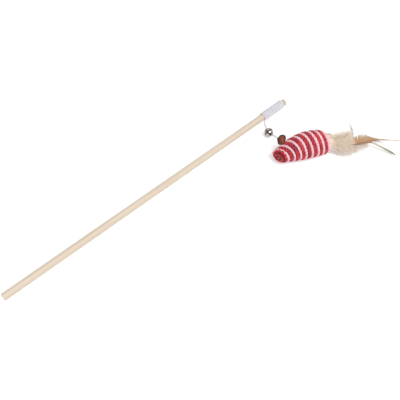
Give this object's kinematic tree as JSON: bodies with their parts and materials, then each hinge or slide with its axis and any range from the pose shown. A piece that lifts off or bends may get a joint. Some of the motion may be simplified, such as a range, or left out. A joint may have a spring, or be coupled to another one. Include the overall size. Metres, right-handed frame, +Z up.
{
  "type": "cat teaser wand",
  "caption": "Wooden cat teaser wand whose short whipped cord carries a jingle bell and a rope-wound mouse with ears and a feather tail.",
  "frame": {"origin": "centre of the rod's butt face", "axes": "+X along the rod from the butt to the tip, +Z up from the table that the toy lies on, +Y away from the mouse's side"},
  "size_m": [0.4538, 0.1519, 0.0325],
  "materials": {
    "wood": "smooth sanded",
    "cord": "matte",
    "bell_metal": "polished",
    "pea_steel": "satin",
    "core": "matte",
    "red_rope": "matte twisted",
    "white_rope": "matte twisted",
    "nose": "matte",
    "suede": "suede",
    "down": "fluffy",
    "tan_feather": "satin",
    "olive_feather": "satin",
    "grey_feather": "satin",
    "pale_feather": "satin"
  },
  "bodies": {
    "wand": {"rod": "wood", "whipping": "cord"},
    "lead": {"cord": "cord", "bell_knot": "cord", "head_knot": "cord"},
    "bell": {"bell_shell": "bell_metal", "bell_loop": "bell_metal"},
    "pea": {"bell_pea": "pea_steel"},
    "mouse": {"mouse_core": "core", "red_rope": "red_rope", "white_rope": "white_rope", "nose": "nose", "left_ear": "suede", "right_ear": "suede", "plume_far": "down", "plume_far_top": "down", "plume_top": "down", "plume_near_top": "down", "plume_near": "down", "plume_near_low": "down", "plume_far_low": "down", "tan_feather": "tan_feather", "olive_feather": "olive_feather", "grey_feather": "grey_feather", "pale_feather": "pale_feather"}
  },
  "joints": [
    {"name": "lead_hang", "type": "hinge", "parent": "wand", "child": "lead", "pos_m": [0.36194, -0.0047, -0.00265], "axis": [1, 0, 0], "range_deg": [-30, 90]},
    {"name": "mouse_swing", "type": "hinge", "parent": "lead", "child": "mouse", "pos_m": [0.34255, -0.0495, 0.0089], "axis": [0, 0, 1], "range_deg": [-40, 40]},
    {"name": "bell_turn", "type": "hinge", "parent": "lead", "child": "bell", "pos_m": [0.3527, -0.023, -0.0035], "axis": [-0.07, -0.9975, 0], "continuous": true},
    {"name": "pea_rattle", "type": "slide", "parent": "bell", "child": "pea", "axis": [0, 0, 1], "range_m": [0, 0.0066]}
  ]
}
